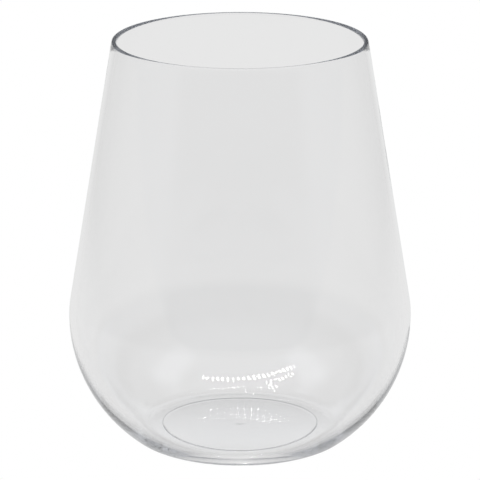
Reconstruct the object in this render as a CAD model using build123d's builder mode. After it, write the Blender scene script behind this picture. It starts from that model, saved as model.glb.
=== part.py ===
from build123d import *

import os
from math import acos, atan2, cos, hypot, sin

# Stemless wine glass, one piece of clear glass turned about +Z.
# Millimetres, +Z up. The origin is the centre of the base, on the surface that the glass stands on.

# Outside
overall_height = 112.0  # from the table to the top of the lip
rim_diameter = 69.3  # across the lip
belly_diameter = 94.0  # across the widest point
belly_height = 35.0  # of the widest point above the table
shoulder_radius = 26.0  # blends the belly into the straight upper wall
foot_diameter = 56.2  # where the bowl's curve runs out to the table
heel_radius = 8.0  # rounds the bowl into the bearing ring

# Wall
rim_wall = 1.4  # also the diameter of the rounded lip
belly_wall = 1.4
base_thickness = 2.2  # from the table to the inner floor
heel_inset = 0.6  # how much narrower than the foot the inner floor's corner is
floor_radius = 10.0  # rounds the inner wall into the inner floor

# Underside
recess_diameter = 43.0  # of the domed recess
recess_depth = 0.4  # at the centre
recess_step = 0.3  # height of the recess's edge
channel_width = 0.4  # of the fine channel round the recess, inside the bearing ring
channel_depth = 0.1  # how far the channel rises above the recess's edge
ring_edge_radius = 0.1  # rounds the bearing ring's inside edge
mark_diameter = 3.0  # round mould mark at the centre of the recess
mark_height = 0.05

rim_radius = rim_diameter / 2
belly_radius = belly_diameter / 2
foot_corner = (foot_diameter / 2, 0)
floor_corner = (foot_diameter / 2 - heel_inset, base_thickness)
ring_edge = (recess_diameter / 2 + channel_width, 0)
lip_radius = rim_wall / 2
lip_centre = (rim_radius - lip_radius, overall_height - lip_radius)
shoulder_centre = (belly_radius - shoulder_radius, belly_height)


def lean(shoulder_reach, lip_reach):
    """Angle of the wall's normal above the horizontal, for a straight wall that touches a circle of
    radius shoulder_reach about the shoulder's centre and lies lip_reach outside the lip's centre."""
    across = lip_centre[0] - shoulder_centre[0]
    up = lip_centre[1] - shoulder_centre[1]
    return atan2(up, across) - acos((shoulder_reach - lip_reach) / hypot(across, up))


def from_centre(centre, radius, angle):
    """Point on a circle in the section's plane."""
    return (centre[0] + radius * cos(angle), centre[1] + radius * sin(angle))


with BuildPart() as glass_body:
    with BuildSketch(Plane.XZ) as section:
        with BuildLine() as outline:
            # Underside: domed recess, the channel round it, and the bearing ring out to the heel
            recess_rim = (recess_diameter / 2, recess_step)
            channel_top = (ring_edge[0], recess_step + channel_depth)
            TangentArc((0, recess_depth), recess_rim, tangent=(1, 0))
            Polyline(recess_rim, channel_top, ring_edge, foot_corner)

            # Outside: bowl from the foot up to the belly, shoulder, and straight wall up to the lip
            outer_lean = lean(shoulder_radius, lip_radius)
            outer_belly = (belly_radius, belly_height)
            outer_lip = from_centre(lip_centre, lip_radius, outer_lean)
            TangentArc(outer_belly, foot_corner, tangent=(0, -1))
            shoulder_top = from_centre(shoulder_centre, shoulder_radius, outer_lean)
            TangentArc(outer_belly, shoulder_top, tangent=(0, 1))
            Line(shoulder_top, outer_lip)

            # Inside: straight wall down from the lip, shoulder, bowl, and floor
            inner_reach = shoulder_radius - belly_wall
            inner_lean = lean(inner_reach, -lip_radius)
            inner_belly = (belly_radius - belly_wall, belly_height)
            inner_lip = from_centre(lip_centre, -lip_radius, inner_lean)
            inner_shoulder_top = from_centre(shoulder_centre, inner_reach, inner_lean)
            ThreePointArc(outer_lip, (lip_centre[0], overall_height), inner_lip)
            Line(inner_lip, inner_shoulder_top)
            TangentArc(inner_belly, inner_shoulder_top, tangent=(0, 1))
            TangentArc(inner_belly, floor_corner, tangent=(0, -1))
            Polyline(floor_corner, (0, base_thickness), (0, recess_depth))
        make_face()
        corners = section.vertices()
        fillet(corners.sort_by_distance(foot_corner)[0], heel_radius)
        fillet(section.vertices().sort_by_distance(floor_corner)[0], floor_radius)
        fillet(section.vertices().sort_by_distance(ring_edge)[0], ring_edge_radius)
    revolve(axis=Axis.Z)
    # Mould mark, standing down from the recess's centre
    with Locations((0, 0, recess_depth - mark_height)):
        Cylinder(mark_diameter / 2, 2 * mark_height, align=(Align.CENTER, Align.CENTER, Align.MIN))

glass_body.part.label = "glass_body"
os.makedirs("parts", exist_ok=True)
export_step(glass_body.part, "parts/glass_body.step")
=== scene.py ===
from math import acos, atan2, cos, hypot, pi, radians, sin, sqrt

import bpy
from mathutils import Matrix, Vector


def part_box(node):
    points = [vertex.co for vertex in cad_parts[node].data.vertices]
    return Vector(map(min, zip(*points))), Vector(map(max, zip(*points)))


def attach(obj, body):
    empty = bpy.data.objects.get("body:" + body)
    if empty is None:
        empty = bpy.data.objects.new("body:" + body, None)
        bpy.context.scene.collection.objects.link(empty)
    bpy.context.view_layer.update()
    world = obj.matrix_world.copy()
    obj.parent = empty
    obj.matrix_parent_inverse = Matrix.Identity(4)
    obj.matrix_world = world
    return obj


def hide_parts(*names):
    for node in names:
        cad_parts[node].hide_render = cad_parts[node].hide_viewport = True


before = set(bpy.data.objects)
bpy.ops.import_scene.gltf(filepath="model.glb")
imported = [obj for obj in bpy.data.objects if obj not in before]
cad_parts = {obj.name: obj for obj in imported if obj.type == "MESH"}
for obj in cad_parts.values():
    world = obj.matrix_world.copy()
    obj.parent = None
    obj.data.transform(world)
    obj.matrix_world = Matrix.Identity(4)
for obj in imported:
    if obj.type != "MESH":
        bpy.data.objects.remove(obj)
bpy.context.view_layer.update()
cad_low, cad_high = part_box("glass_body")

bl_info = {
    "name": "Stemless wine glass",
    "version": (1, 0, 0),
    "blender": (4, 5, 0),
    "location": "3D View > Sidebar > Glass",
    "description": "Models a clear stemless wine glass and the studio that it stands in",
    "category": "Object",
}

MM = 0.001
WHITE = (1.0, 1.0, 1.0, 1.0)


def length(name, description, millimetres):
    """A size in millimetres, kept in metres as every Blender length is."""
    return bpy.props.FloatProperty(
        name=name, description=description, default=millimetres * MM, min=0.0, unit="LENGTH"
    )


def level(name, description, value):
    """A strength or share of light, where 1 is white or the whole."""
    return bpy.props.FloatProperty(name=name, description=description, default=value, min=0.0)


class GlassSizes(bpy.types.PropertyGroup):
    """Sizes of the glass's section. Height and belly come from the frame."""

    height: length("Height", "From the table to the top of the lip", cad_high.z / MM)
    belly_diameter: length("Belly diameter", "Across the widest point", (cad_high.x - cad_low.x) / MM)
    belly_height: length("Belly height", "Of the widest point above the table", 35.0)
    rim_diameter: length("Rim diameter", "Across the lip", 69.3)
    shoulder_radius: length("Shoulder radius", "Blends the belly into the straight upper wall", 26.0)
    foot_diameter: length("Foot diameter", "Where the bowl's curve runs out to the table", 56.2)
    heel_radius: length("Heel radius", "Rounds the bowl into the bearing ring", 8.0)
    rim_wall: length("Rim wall", "Wall at the lip, also the diameter of the rounded lip", 1.4)
    belly_wall: length("Belly wall", "Wall at the widest point", 1.4)
    base_thickness: length("Base thickness", "From the table to the inner floor", 2.2)
    heel_inset: length("Heel inset", "How much narrower than the foot the inner floor's corner is", 0.6)
    floor_radius: length("Floor radius", "Rounds the inner wall into the inner floor", 10.0)
    recess_diameter: length("Recess diameter", "Of the domed recess under the base", 43.0)
    recess_depth: length("Recess depth", "Of the recess, at its centre", 0.4)
    recess_step: length("Recess step", "Height of the recess's edge", 0.3)
    channel_width: length("Channel width", "Of the fine channel round the recess", 0.4)
    channel_depth: length("Channel depth", "How far the channel rises above the recess's edge", 0.1)
    ring_edge_radius: length("Ring edge radius", "Rounds the bearing ring's inside edge", 0.1)
    mark_diameter: length("Mark diameter", "Round mould mark at the centre of the recess", 3.0)
    mark_height: length("Mark height", "How far the mould mark stands down", 0.05)
    sides: bpy.props.IntProperty(
        name="Sides", description="Steps of the turned mesh round the axis", default=256, min=32
    )


class GlassFinish(bpy.types.PropertyGroup):
    """Colour and surface of the clear glass."""

    tint: bpy.props.FloatVectorProperty(
        name="Tint", description="Colour of the light that passes a surface",
        subtype="COLOR", size=4, default=(0.995, 0.995, 0.995, 1.0), min=0.0, max=1.0,
    )
    depth_colour: bpy.props.FloatVectorProperty(
        name="Depth colour", description="Colour that a long way through the glass takes on",
        subtype="COLOR", size=4, default=(0.24, 0.28, 0.36, 1.0), min=0.0, max=1.0,
    )
    depth_density: bpy.props.FloatProperty(
        name="Depth density", description="How fast the depth colour builds up, per metre",
        default=1.2, min=0.0,
    )
    index: bpy.props.FloatProperty(
        name="Refractive index", description="How strongly the glass bends light",
        default=1.5, min=1.0, max=2.0,
    )
    ripple_length: length("Ripple length", "From wave to wave of the mould's faint ripple", 18.0)
    ripple_height: length("Ripple height", "Of the mould's faint ripple", 0.03)
    scuffs: bpy.props.FloatProperty(
        name="Scuffs", description="Roughness of the scuffs on the bearing ring",
        default=0.25, subtype="FACTOR", min=0.0, max=1.0,
    )


class StudioSettings(bpy.types.PropertyGroup):
    """Floor, light and camera."""

    floor_radius: bpy.props.FloatProperty(
        name="Floor radius", description="Of the round floor", default=4.0, min=1.0, unit="LENGTH"
    )
    paper: level("Paper", "Light that the glass gathers from the floor round it", 0.805)
    outskirts: level("Outskirts", "Light from the floor far out beside and before the glass", 0.56)
    # Painted shadow: share of the floor's glow that is left in the ring under the heel
    shade: level("Shade", "Share of the paper's light that is left under the heel's two front sides", 0.83)
    tent: level("Tent", "Strength of the tent's light", 1.0)
    cast: bpy.props.FloatVectorProperty(
        name="Cast", description="Cool colour of the tent's light",
        subtype="COLOR", size=3, default=(0.96, 0.99, 1.05), min=0.0, soft_max=1.0,
    )
    lamp_height: length("Lamp height", "Of the row of lamps above the table", 500.0)
    lamp_right: length("Lamp right", "How far the row reaches to the glass's right", 170.0)
    lamp_turn: bpy.props.FloatProperty(
        name="Lamp turn", description="How far the row is turned about its right end",
        default=0.13, subtype="ANGLE",
    )
    lamp_pitch: length("Lamp pitch", "From lamp to lamp", 23.5)
    lamp_width: length("Lamp width", "Across one lamp, along the row", 7.0)
    lamp_length: length("Lamp length", "Across one lamp, square to the row", 31.0)
    lamp_count: bpy.props.IntProperty(name="Lamps", description="In the row", default=21, min=1)
    lamp_power: level("Lamp power", "Light from one lamp", 42.0)
    camera_reach: length("Camera reach", "Level distance from the glass's axis to the camera", 870.0)
    camera_height: length("Camera height", "Of the camera above the table", 310.77)
    aim_height: length("Aim height", "Point on the glass's axis that the camera looks at", 55.73)
    sensor: length("Sensor", "Width of the camera's sensor", 36.0)
    lens: length("Lens", "Focal length of the camera", 248.385)
    bounces: bpy.props.IntProperty(
        name="Bounces", description="How often light may turn inside the glass before it is lost",
        default=300, min=1,
    )


def deselect_all():
    """Leaves edit mode, and deselects the CAD nodes and whatever else is selected."""
    if bpy.context.mode != "OBJECT":
        bpy.ops.object.mode_set(mode="OBJECT")
    bpy.ops.object.select_all(action="DESELECT")


# Section of the glass
MERGE_DISTANCE = 0.001 * MM  # vertices closer than this become one

# Steps of the mesh along each stretch of the section
STEPS = {
    "mark": 6, "dome": 24, "channel": 4, "ring_edge": 6, "ring": 8, "heel": 16,
    "bowl": 56, "shoulder": 12, "wall": 32, "lip": 24, "floor_corner": 20, "floor": 20,
}


class Pen:
    """Draws the section as a chain of vertices in the XZ plane, the last of which stays selected."""

    def __init__(self, name, radius, height):
        bpy.ops.mesh.primitive_plane_add(size=MM)
        self.piece = bpy.context.object
        self.piece.name = name
        self.piece.data.name = name
        bpy.ops.object.mode_set(mode="EDIT")
        bpy.ops.mesh.select_all(action="SELECT")
        bpy.ops.mesh.merge(type="CENTER")
        bpy.ops.transform.translate(value=(radius, 0.0, height))
        self.at = Vector((radius, height))

    def line_to(self, radius, height, steps):
        """Extrudes the last vertex in a straight line."""
        stride = (Vector((radius, height)) - self.at) / steps
        for _ in range(steps):
            bpy.ops.mesh.extrude_vertices_move(TRANSFORM_OT_translate={"value": (stride.x, 0.0, stride.y)})
        self.at = Vector((radius, height))

    def arc(self, centre, turn, steps):
        """Spins the last vertex about a centre. A positive turn goes from +X towards +Z."""
        bpy.ops.mesh.spin(
            steps=steps, angle=turn, center=(centre[0], 0.0, centre[1]), axis=(0.0, 1.0, 0.0)
        )
        spoke = self.at - Vector(centre)
        across = spoke.x * cos(turn) - spoke.y * sin(turn)
        up = spoke.x * sin(turn) + spoke.y * cos(turn)
        self.at = Vector(centre) + Vector((across, up))

    def arc_to_angle(self, centre, angle, steps):
        """Spins the last vertex the short way, until the spoke from the centre stands at an angle."""
        spoke = self.at - Vector(centre)
        turn = (angle - atan2(spoke.y, spoke.x) + pi) % (2 * pi) - pi
        self.arc(centre, turn, steps)

    def turn_solid(self, sides):
        """Spins the whole section round the glass's axis into a closed solid."""
        bpy.ops.mesh.select_all(action="SELECT")
        bpy.ops.mesh.spin(steps=sides, angle=2 * pi, center=(0.0, 0.0, 0.0), axis=(0.0, 0.0, 1.0))
        bpy.ops.mesh.select_all(action="SELECT")
        bpy.ops.mesh.remove_doubles(threshold=MERGE_DISTANCE)
        bpy.ops.mesh.normals_make_consistent(inside=False)
        bpy.ops.object.mode_set(mode="OBJECT")
        bpy.ops.object.shade_smooth()
        return self.piece


def cap_radius(half_width, rise):
    """Radius of an arc that rises by so much over half its width."""
    return (half_width ** 2 + rise ** 2) / (2 * rise)


def bowl_arc(belly_radius, belly_height, end_radius, end_height):
    """Centre and radius of a bowl's arc, which leaves the belly upright and ends at a point."""
    reach = cap_radius(belly_height - end_height, belly_radius - end_radius)
    return (belly_radius - reach, belly_height), reach


def blend_centre(bowl_centre, bowl_radius, plane_height, blend_radius):
    """Centre of the arc inside a bowl's arc that rounds it into a level plane."""
    drop = bowl_centre[1] - plane_height - blend_radius
    across = sqrt((bowl_radius - blend_radius) ** 2 - drop ** 2)
    return (bowl_centre[0] + across, plane_height + blend_radius)


def angle_to(start, end):
    """Angle of the line from one point to another, above the horizontal."""
    return atan2(end[1] - start[1], end[0] - start[0])


def on_arc(centre, radius, angle):
    """Point of an arc whose spoke stands at an angle."""
    return (centre[0] + radius * cos(angle), centre[1] + radius * sin(angle))


def lip_arc(sizes):
    """Centre and radius of the rounded lip."""
    radius = sizes.rim_wall / 2
    return (sizes.rim_diameter / 2 - radius, sizes.height - radius), radius


def shoulder_place(sizes):
    """Centre of the shoulder's arcs, outside and inside."""
    return (sizes.belly_diameter / 2 - sizes.shoulder_radius, sizes.belly_height)


def lean(sizes, shoulder_reach, lip_reach):
    """Angle above the horizontal of a straight wall's normal. The wall lies so far outside
    the shoulder's centre, and so far outside the lip's."""
    lip_centre, _ = lip_arc(sizes)
    shoulder_centre = shoulder_place(sizes)
    across = lip_centre[0] - shoulder_centre[0]
    up = lip_centre[1] - shoulder_centre[1]
    return atan2(up, across) - acos((shoulder_reach - lip_reach) / hypot(across, up))


def outer_lean(sizes):
    """Lean of the straight wall's outside."""
    return lean(sizes, sizes.shoulder_radius, sizes.rim_wall / 2)


def inner_lean(sizes):
    """Lean of the straight wall's inside."""
    return lean(sizes, sizes.shoulder_radius - sizes.belly_wall, -sizes.rim_wall / 2)


def draw_underside(pen, sizes):
    """Mould mark, domed recess, the channel round it and the bearing ring's inside edge."""
    recess_radius = sizes.recess_diameter / 2
    dome_reach = cap_radius(recess_radius, sizes.recess_depth - sizes.recess_step)
    dome_centre = (0.0, sizes.recess_depth - dome_reach)
    recess_edge = (recess_radius, sizes.recess_step)

    mark_radius = sizes.mark_diameter / 2
    mark_tip = sizes.recess_depth - sizes.mark_height
    mark_edge = (mark_radius, dome_centre[1] + sqrt(dome_reach ** 2 - mark_radius ** 2))
    mark_centre = (0.0, mark_tip + cap_radius(mark_radius, mark_edge[1] - mark_tip))

    pen.arc_to_angle(mark_centre, angle_to(mark_centre, mark_edge), STEPS["mark"])
    pen.arc_to_angle(dome_centre, angle_to(dome_centre, recess_edge), STEPS["dome"])
    channel_radius = recess_radius + sizes.channel_width
    pen.line_to(channel_radius, sizes.recess_step + sizes.channel_depth, STEPS["channel"])
    edge = sizes.ring_edge_radius
    pen.line_to(channel_radius, edge, STEPS["channel"])
    pen.arc_to_angle((channel_radius + edge, edge), -pi / 2, STEPS["ring_edge"])


def draw_outside(pen, sizes):
    """Bearing ring, heel, bowl, shoulder and straight wall, up to the lip."""
    belly_radius = sizes.belly_diameter / 2
    bowl_centre, bowl_radius = bowl_arc(belly_radius, sizes.belly_height, sizes.foot_diameter / 2, 0.0)
    heel_centre = blend_centre(bowl_centre, bowl_radius, 0.0, sizes.heel_radius)
    pen.line_to(heel_centre[0], 0.0, STEPS["ring"])
    pen.arc_to_angle(heel_centre, angle_to(bowl_centre, heel_centre), STEPS["heel"])
    pen.arc_to_angle(bowl_centre, 0.0, STEPS["bowl"])

    normal = outer_lean(sizes)
    pen.arc_to_angle(shoulder_place(sizes), normal, STEPS["shoulder"])
    lip_centre, lip_radius = lip_arc(sizes)
    pen.line_to(*on_arc(lip_centre, lip_radius, normal), STEPS["wall"])


def draw_inside(pen, sizes):
    """Lip, straight wall, shoulder, bowl and floor, in to the axis."""
    normal = inner_lean(sizes)
    lip_centre, _ = lip_arc(sizes)
    pen.arc(lip_centre, pi + normal - outer_lean(sizes), STEPS["lip"])
    shoulder_centre = shoulder_place(sizes)
    shoulder_top = on_arc(shoulder_centre, sizes.shoulder_radius - sizes.belly_wall, normal)
    pen.line_to(*shoulder_top, STEPS["wall"])
    pen.arc_to_angle(shoulder_centre, 0.0, STEPS["shoulder"])

    belly_radius = sizes.belly_diameter / 2 - sizes.belly_wall
    corner_radius = sizes.foot_diameter / 2 - sizes.heel_inset
    bowl_centre, bowl_radius = bowl_arc(
        belly_radius, sizes.belly_height, corner_radius, sizes.base_thickness
    )
    floor_centre = blend_centre(bowl_centre, bowl_radius, sizes.base_thickness, sizes.floor_radius)
    pen.arc_to_angle(bowl_centre, angle_to(bowl_centre, floor_centre), STEPS["bowl"])
    pen.arc_to_angle(floor_centre, -pi / 2, STEPS["floor_corner"])
    pen.line_to(0.0, sizes.base_thickness, STEPS["floor"])


class Tree:
    """Short ways to add nodes to a material's or a world's node tree."""

    def __init__(self, tree):
        self.nodes = tree.nodes
        self.links = tree.links

    def feed(self, socket, value):
        """Links a socket to another one, or sets its value."""
        if isinstance(value, bpy.types.NodeSocket):
            self.links.new(value, socket)
        else:
            socket.default_value = value

    def add(self, kind, **settings):
        """A new node with its settings."""
        node = self.nodes.new(kind)
        for key, value in settings.items():
            setattr(node, key, value)
        return node

    def maths(self, operation, first, second=0.0):
        """Result of an operation on one or two values."""
        node = self.add("ShaderNodeMath", operation=operation)
        self.feed(node.inputs[0], first)
        self.feed(node.inputs[1], second)
        return node.outputs["Value"]

    def noise(self, place, scale, detail):
        """Level of a cloudy pattern at a place."""
        node = self.add("ShaderNodeTexNoise")
        self.feed(node.inputs["Vector"], place)
        self.feed(node.inputs["Scale"], scale)
        self.feed(node.inputs["Detail"], detail)
        return node.outputs["Fac"]

    def step(self, value, first, last, low=0.0, high=1.0):
        """Runs softly from low to high while the value runs from first to last."""
        node = self.add("ShaderNodeMapRange", interpolation_type="SMOOTHSTEP")
        for name, number in (("From Min", first), ("From Max", last), ("To Min", low), ("To Max", high)):
            self.feed(node.inputs[name], number)
        self.feed(node.inputs["Value"], value)
        return node.outputs["Result"]

    def mix(self, factor, first, second):
        """Colour that goes from the first to the second as the factor goes from 0 to 1."""
        node = self.add("ShaderNodeMix", data_type="RGBA")
        self.feed(node.inputs["Factor"], factor)
        self.feed(node.inputs["A"], first)
        self.feed(node.inputs["B"], second)
        return node.outputs["Result"]

    def ramp(self, value, stops, colour):
        """A colour ramp from stops of place and level."""
        node = self.add("ShaderNodeValToRGB")
        elements = node.color_ramp.elements
        while len(elements) < len(stops):
            elements.new(position=0.5)
        for element, (place, grey) in zip(elements, stops):
            element.position = place
            element.color = (grey * colour[0], grey * colour[1], grey * colour[2], 1.0)
        self.feed(node.inputs["Fac"], value)
        return node.outputs["Color"]

    def place(self, coordinate):
        """X, Y and Z of a coordinate, and the turn from straight behind the glass, alike to both sides."""
        parts = self.add("ShaderNodeSeparateXYZ")
        self.feed(parts.inputs["Vector"], self.add("ShaderNodeTexCoord").outputs[coordinate])
        x, y, z = parts.outputs
        return x, y, z, self.maths("ARCTAN2", self.maths("ABSOLUTE", x), y)

    def light_path(self, output):
        """What Cycles knows of the ray that arrives."""
        return self.add("ShaderNodeLightPath").outputs[output]


# Surface of the clear glass
RIPPLE_SCALE = (1.0, 1.0, 0.45)  # less than 1 draws the waves out along that axis
RIPPLE_DETAIL = 2.0
SCUFF_GRAIN = 900.0  # spots to the metre
SCUFF_DETAIL = 4.0
SCUFF_SPOTS = (0.52, 0.68)  # level of the noise at which a spot starts, and is full
SCUFF_HEIGHTS = (0.25 * MM, 0.02 * MM)  # above the table, where scuffs start, and are full


def clear_glass_material(finish):
    """Clear glass with a faint ripple from the mould, and fine scuffs where it stands on tables."""
    material = bpy.data.materials.new("clear_glass")
    material.use_nodes = True
    tree = Tree(material.node_tree)
    shader = tree.nodes["Principled BSDF"]
    shader.inputs["Base Color"].default_value = finish.tint
    shader.inputs["IOR"].default_value = finish.index
    shader.inputs["Transmission Weight"].default_value = 1.0

    # Ripple: long soft waves, drawn out along the glass's axis
    spot = tree.add("ShaderNodeTexCoord").outputs["Object"]
    drawn = tree.add("ShaderNodeMapping")
    drawn.inputs["Scale"].default_value = RIPPLE_SCALE
    tree.feed(drawn.inputs["Vector"], spot)
    waves = tree.noise(drawn.outputs["Vector"], 1 / finish.ripple_length, RIPPLE_DETAIL)
    bump = tree.add("ShaderNodeBump")
    bump.inputs["Distance"].default_value = finish.ripple_height
    tree.feed(bump.inputs["Height"], waves)
    tree.feed(shader.inputs["Normal"], bump.outputs["Normal"])

    # Scuffs: fine and patchy, only on the ring that the glass stands on
    parts = tree.add("ShaderNodeSeparateXYZ")
    tree.feed(parts.inputs["Vector"], spot)
    standing = tree.step(parts.outputs["Z"], *SCUFF_HEIGHTS)
    spots = tree.step(tree.noise(spot, SCUFF_GRAIN, SCUFF_DETAIL), *SCUFF_SPOTS)
    worn = tree.maths("MULTIPLY", standing, spots)
    tree.feed(shader.inputs["Roughness"], tree.maths("MULTIPLY", worn, finish.scuffs))

    # Colour that builds up in the depth of the glass
    depth = tree.add("ShaderNodeVolumeAbsorption")
    depth.inputs["Color"].default_value = finish.depth_colour
    depth.inputs["Density"].default_value = finish.depth_density
    tree.feed(tree.nodes["Material Output"].inputs["Volume"], depth.outputs["Volume"])
    return material


class GLASS_OT_body(bpy.types.Operator):
    """Turns the glass from its section and gives it its clear finish"""

    bl_idname = "glass.body"
    bl_label = "Glass body"

    def execute(self, context):
        sizes = context.scene.glass_sizes
        deselect_all()
        pen = Pen("glass_body", 0.0, sizes.recess_depth - sizes.mark_height)
        draw_underside(pen, sizes)
        draw_outside(pen, sizes)
        draw_inside(pen, sizes)
        body = pen.turn_solid(sizes.sides)
        body.data.materials.append(clear_glass_material(context.scene.glass_finish))
        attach(body, "root")
        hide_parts("glass_body")
        return {"FINISHED"}


def glow_tree(name):
    """A material that only glows, its tree, and the glow."""
    material = bpy.data.materials.new(name)
    material.use_nodes = True
    tree = Tree(material.node_tree)
    tree.nodes.remove(tree.nodes["Principled BSDF"])
    glow = tree.add("ShaderNodeEmission")
    tree.feed(tree.nodes["Material Output"].inputs["Surface"], glow.outputs["Emission"])
    return material, tree, glow


# Floor
FLOOR_SIDES = 96
FLOOR_GAP = 0.1 * MM  # below the glass

# Turn from straight behind the glass, and distance from its axis, over which the floor's light changes
OUTSKIRTS_TURN = (radians(15), radians(60))
OUTSKIRTS_REACH = (180 * MM, 500 * MM)
# Painted shadow under the heel: where it grows, fades and ends
SHADE_GROWS = (radians(95), radians(125))
SHADE_FADES = (radians(145), radians(180))
SHADE_INNER_EDGE = (24 * MM, 26 * MM)
SHADE_OUTER_EDGE = (32 * MM, 36 * MM)


def floor_material(studio):
    """Pale paper. It is plain white to the camera. To the glass it is a soft light, which is weaker
    far out beside and before it, and in a narrow painted shadow under its heel."""
    material, tree, glow = glow_tree("pale_floor")
    x, y, _, turn = tree.place("Object")
    reach_squared = tree.maths("ADD", tree.maths("MULTIPLY", x, x), tree.maths("MULTIPLY", y, y))
    reach = tree.maths("SQRT", reach_squared)
    far = tree.step(turn, *OUTSKIRTS_TURN, studio.paper, studio.outskirts)
    light = tree.step(reach, *OUTSKIRTS_REACH, studio.paper, far)

    # Painted shadow: a share of the light, in part of a ring under the heel, where the glass would cast
    # shade
    shade = tree.step(turn, *SHADE_GROWS, 1.0, studio.shade)
    shade = tree.step(turn, *SHADE_FADES, shade, 1.0)
    shade = tree.step(reach, *SHADE_INNER_EDGE, 1.0, shade)
    shade = tree.step(reach, *SHADE_OUTER_EDGE, shade, 1.0)

    seen = tree.light_path("Is Camera Ray")
    gathered = tree.maths("MULTIPLY", light, shade)
    tree.feed(glow.inputs["Strength"], tree.step(seen, 0.0, 1.0, gathered, 1.0))
    return material


def add_floor(studio):
    """A round floor, a hair below the glass."""
    bpy.ops.mesh.primitive_circle_add(
        vertices=FLOOR_SIDES, radius=studio.floor_radius, fill_type="NGON", location=(0.0, 0.0, -FLOOR_GAP)
    )
    floor = bpy.context.object
    floor.name = "floor"
    floor.data.materials.append(floor_material(studio))


# Light of the tent's walls, up to the roof that they share: degrees above the horizon, and level
TENT = {
    "back": [(3, 0.75), (5, 0.2), (11, 0.15), (21, 0.6), (26, 0.7), (30, 0.0), (55, 0.0)],
    "quarter": [(2, 0.7), (14, 0.35), (17, 0.05), (23, 0.05), (27, 0.2), (60, 0.0)],
    "side": [(2, 0.45), (11, 0.4), (17, 0.05), (22, 0.0), (38, 0.4), (44, 1.1), (54, 1.1), (60, 0.1)],
    "front": [(1, 0.3), (3, 0.2), (22, 0.2), (34, 0.45), (48, 0.55)],
}
TENT_ROOF = (70, 0.4)

# Degrees from straight behind the glass over which a wall takes over from the one before it
TENT_CORNERS = {"quarter": (30, 40), "side": (60, 80), "front": (119, 133)}


def tent_world(studio):
    """A light tent with a back, two quarters, two sides and a dim open front. It is plain white to
    the camera."""
    world = bpy.data.worlds.new("tent")
    world.use_nodes = True
    tree = Tree(world.node_tree)
    _, _, height, turn = tree.place("Generated")
    walls = {}
    for wall, stops in TENT.items():
        places = [(sin(radians(degrees)), grey * studio.tent) for degrees, grey in (*stops, TENT_ROOF)]
        walls[wall] = tree.ramp(height, places, studio.cast)
    light = walls["back"]
    for wall, (first, last) in TENT_CORNERS.items():
        light = tree.mix(tree.step(turn, radians(first), radians(last)), light, walls[wall])
    seen = tree.light_path("Is Camera Ray")
    tree.feed(tree.nodes["Background"].inputs["Color"], tree.mix(seen, light, WHITE))
    return world


# Bounces of a ray between which the lamps come into its sight, and go out of it
LAMPS_APPEAR = (1.0, 2.0)
LAMPS_VANISH = (7.0, 8.0)


def lamp_material(studio):
    """Bright to rays that have bounced 2 to 7 times, so that the lamps show in reflections seen
    through the wall and leave no specks on the lip."""
    material, tree, glow = glow_tree("lamp_light")
    bounced = tree.light_path("Ray Depth")
    glare = tree.step(bounced, *LAMPS_APPEAR, 0.0, studio.lamp_power)
    tree.feed(glow.inputs["Strength"], tree.step(bounced, *LAMPS_VANISH, glare, 0.0))
    return material


def add_lamps(studio):
    """A row of lamps overhead, from its right end to its left."""
    bpy.ops.mesh.primitive_plane_add(size=studio.lamp_width)
    lamps = bpy.context.object
    lamps.name = "lamps"
    lamps.scale.y = studio.lamp_length / studio.lamp_width
    lamps.location = (studio.lamp_right, 0.0, studio.lamp_height)
    lamps.rotation_euler.z = studio.lamp_turn
    bpy.ops.object.modifier_add(type="ARRAY")
    row = lamps.modifiers[-1]
    row.use_relative_offset = False
    row.use_constant_offset = True
    row.constant_offset_displace = (-studio.lamp_pitch, 0.0, 0.0)
    row.count = studio.lamp_count
    bpy.ops.object.modifier_apply(modifier=row.name)
    lamps.data.materials.append(lamp_material(studio))
    lamps.visible_camera = False


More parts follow.
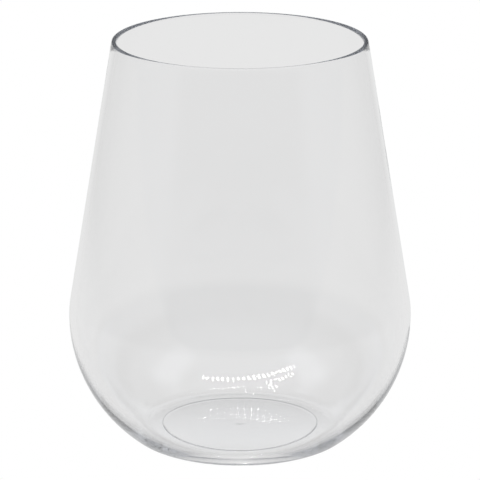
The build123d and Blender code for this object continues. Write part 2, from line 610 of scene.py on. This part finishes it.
def add_camera(studio):
    """A camera before the glass, aimed down at a point on its axis."""
    bpy.ops.object.camera_add(location=(0.0, -studio.camera_reach, studio.camera_height))
    camera = bpy.context.object
    aim = Vector((0.0, 0.0, studio.aim_height)) - camera.location
    camera.rotation_mode = "QUATERNION"
    camera.rotation_quaternion = aim.to_track_quat("-Z", "Y")
    camera.data.sensor_width = studio.sensor / MM
    camera.data.lens = studio.lens / MM
    return camera


class GLASS_OT_stage(bpy.types.Operator):
    """Sets the floor, the tent's light, the lamps and the camera"""

    bl_idname = "glass.stage"
    bl_label = "Stage"

    def execute(self, context):
        scene = context.scene
        studio = scene.glass_studio
        deselect_all()
        add_floor(studio)
        scene.world = tent_world(studio)
        add_lamps(studio)
        scene.camera = add_camera(studio)
        scene.view_settings.view_transform = "Standard"
        scene.cycles.max_bounces = studio.bounces
        scene.cycles.transmission_bounces = studio.bounces
        scene.cycles.glossy_bounces = studio.bounces
        # No clamp, which would dim the lamps' mirrored row in the base
        scene.cycles.sample_clamp_indirect = 0.0
        return {"FINISHED"}


class GLASS_PT_panel(bpy.types.Panel):
    """Lists the sizes, the finish, the studio and the steps of the model"""

    bl_idname = "GLASS_PT_panel"
    bl_label = "Stemless wine glass"
    bl_space_type = "VIEW_3D"
    bl_region_type = "UI"
    bl_category = "Glass"

    def draw(self, context):
        layout = self.layout
        for title, settings, operator in (
            ("Sizes", context.scene.glass_sizes, GLASS_OT_body.bl_idname),
            ("Finish", context.scene.glass_finish, None),
            ("Studio", context.scene.glass_studio, GLASS_OT_stage.bl_idname),
        ):
            box = layout.box()
            box.label(text=title)
            for key in settings.__annotations__:
                box.prop(settings, key)
            if operator:
                box.operator(operator)


SETTINGS = {"glass_sizes": GlassSizes, "glass_finish": GlassFinish, "glass_studio": StudioSettings}
CLASSES = (*SETTINGS.values(), GLASS_OT_body, GLASS_OT_stage, GLASS_PT_panel)


def register():
    for cls in CLASSES:
        bpy.utils.register_class(cls)
    for key, group in SETTINGS.items():
        setattr(bpy.types.Scene, key, bpy.props.PointerProperty(type=group))


def unregister():
    for key in SETTINGS:
        delattr(bpy.types.Scene, key)
    for cls in reversed(CLASSES):
        bpy.utils.unregister_class(cls)


def main():
    register()
    bpy.ops.glass.body()
    bpy.ops.glass.stage()


if __name__ == "__main__":
    main()
